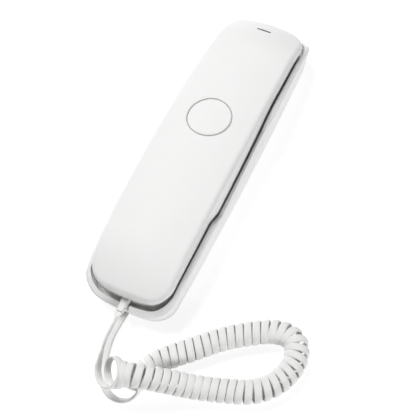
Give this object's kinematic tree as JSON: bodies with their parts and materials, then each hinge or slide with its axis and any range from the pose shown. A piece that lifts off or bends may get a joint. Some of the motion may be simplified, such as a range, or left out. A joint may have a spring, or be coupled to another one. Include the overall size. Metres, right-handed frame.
{
  "type": "slimline wall phone",
  "caption": "Slim white corded phone: long rounded handset lying in a shallow wall or desk cradle, with a keypad on its inner face and a curly cord.",
  "frame": {"origin": "centre of the phone's footprint, on the surface under its rubber feet, leaving out the cord and its base plug", "axes": "+X to the right of the phone seen from its front with the earpiece end up, +Y along its length towards the earpiece end, +Z out of its front"},
  "size_m": [0.146, 0.2733, 0.0439],
  "materials": {
    "white_shell": "smooth satin white moulding",
    "keycap_grey": "pale moulded keycap",
    "keypad_rubber": "soft contact mat",
    "chrome_ring": "polished trim",
    "dark_window": "dark lens",
    "circuit_board": "laminate board",
    "dark_plastic": "moulded black",
    "soft_rubber": "matt rubber",
    "steel": "plated",
    "brass": "plain sounder disc",
    "clear_plug": "white moulded plug",
    "cord_vinyl": "white flat vinyl cord"
  },
  "bodies": {
    "base": {"base_plug": "clear_plug", "base_shell": "white_shell", "cord_jack": "dark_plastic", "cover_screws": "steel", "curly_cord": "cord_vinyl", "hang_tab": "white_shell", "hook_switch": "dark_plastic", "lead_to_base": "cord_vinyl", "lead_to_handset": "cord_vinyl", "line_jack": "dark_plastic", "main_board": "circuit_board", "rear_cover": "white_shell", "ringer_sounder": "brass", "rubber_feet": "soft_rubber"},
    "handset": {"handset_cover": "white_shell", "handset_face": "white_shell", "trim_ring": "chrome_ring", "front_disc": "white_shell", "indicator_window": "dark_window", "keypad_mat": "keypad_rubber", "keypad_board": "circuit_board", "receiver_gasket": "soft_rubber", "receiver_capsule": "dark_plastic", "microphone": "steel", "microphone_boot": "soft_rubber", "ballast_weights": "steel", "handset_screws": "steel", "handset_jack": "dark_plastic", "handset_plug": "clear_plug"},
    "hook_button": {"hook_button": "white_shell"},
    "ringer_switch": {"ringer_switch": "dark_plastic"},
    "key_0": {"key_0": "keycap_grey"},
    "key_1": {"key_1": "keycap_grey"},
    "key_2": {"key_2": "keycap_grey"},
    "key_3": {"key_3": "keycap_grey"},
    "key_4": {"key_4": "keycap_grey"},
    "key_5": {"key_5": "keycap_grey"},
    "key_6": {"key_6": "keycap_grey"},
    "key_7": {"key_7": "keycap_grey"},
    "key_8": {"key_8": "keycap_grey"},
    "key_9": {"key_9": "keycap_grey"},
    "key_flash": {"key_flash": "keycap_grey"},
    "key_hash": {"key_hash": "keycap_grey"},
    "key_mute": {"key_mute": "keycap_grey"},
    "key_redial": {"key_redial": "keycap_grey"},
    "key_star": {"key_star": "keycap_grey"}
  },
  "joints": [
    {"name": "handset_lift", "type": "slide", "parent": "base", "child": "handset", "axis": [0, 0, 1], "range_m": [0, 0.08]},
    {"name": "hook_travel", "type": "slide", "parent": "base", "child": "hook_button", "axis": [0, 0, 1], "range_m": [0, 0.0028]},
    {"name": "ringer_slide", "type": "slide", "parent": "base", "child": "ringer_switch", "axis": [0, 1, 0], "range_m": [-0.003, 0.003]},
    {"name": "key_0_press", "type": "slide", "parent": "handset", "child": "key_0", "axis": [0, 0, 1], "range_m": [0, 0.001], "stiffness_N_per_m": 400, "springref_m": -0.001},
    {"name": "key_1_press", "type": "slide", "parent": "handset", "child": "key_1", "axis": [0, 0, 1], "range_m": [0, 0.001], "stiffness_N_per_m": 400, "springref_m": -0.001},
    {"name": "key_2_press", "type": "slide", "parent": "handset", "child": "key_2", "axis": [0, 0, 1], "range_m": [0, 0.001], "stiffness_N_per_m": 400, "springref_m": -0.001},
    {"name": "key_3_press", "type": "slide", "parent": "handset", "child": "key_3", "axis": [0, 0, 1], "range_m": [0, 0.001], "stiffness_N_per_m": 400, "springref_m": -0.001},
    {"name": "key_4_press", "type": "slide", "parent": "handset", "child": "key_4", "axis": [0, 0, 1], "range_m": [0, 0.001], "stiffness_N_per_m": 400, "springref_m": -0.001},
    {"name": "key_5_press", "type": "slide", "parent": "handset", "child": "key_5", "axis": [0, 0, 1], "range_m": [0, 0.001], "stiffness_N_per_m": 400, "springref_m": -0.001},
    {"name": "key_6_press", "type": "slide", "parent": "handset", "child": "key_6", "axis": [0, 0, 1], "range_m": [0, 0.001], "stiffness_N_per_m": 400, "springref_m": -0.001},
    {"name": "key_7_press", "type": "slide", "parent": "handset", "child": "key_7", "axis": [0, 0, 1], "range_m": [0, 0.001], "stiffness_N_per_m": 400, "springref_m": -0.001},
    {"name": "key_8_press", "type": "slide", "parent": "handset", "child": "key_8", "axis": [0, 0, 1], "range_m": [0, 0.001], "stiffness_N_per_m": 400, "springref_m": -0.001},
    {"name": "key_9_press", "type": "slide", "parent": "handset", "child": "key_9", "axis": [0, 0, 1], "range_m": [0, 0.001], "stiffness_N_per_m": 400, "springref_m": -0.001},
    {"name": "key_flash_press", "type": "slide", "parent": "handset", "child": "key_flash", "axis": [0, 0, 1], "range_m": [0, 0.001], "stiffness_N_per_m": 400, "springref_m": -0.001},
    {"name": "key_hash_press", "type": "slide", "parent": "handset", "child": "key_hash", "axis": [0, 0, 1], "range_m": [0, 0.001], "stiffness_N_per_m": 400, "springref_m": -0.001},
    {"name": "key_mute_press", "type": "slide", "parent": "handset", "child": "key_mute", "axis": [0, 0, 1], "range_m": [0, 0.001], "stiffness_N_per_m": 400, "springref_m": -0.001},
    {"name": "key_redial_press", "type": "slide", "parent": "handset", "child": "key_redial", "axis": [0, 0, 1], "range_m": [0, 0.001], "stiffness_N_per_m": 400, "springref_m": -0.001},
    {"name": "key_star_press", "type": "slide", "parent": "handset", "child": "key_star", "axis": [0, 0, 1], "range_m": [0, 0.001], "stiffness_N_per_m": 400, "springref_m": -0.001}
  ],
  "couplings": [
    {"joint": "hook_travel", "follows": "handset_lift", "ratio": 0.035}
  ]
}
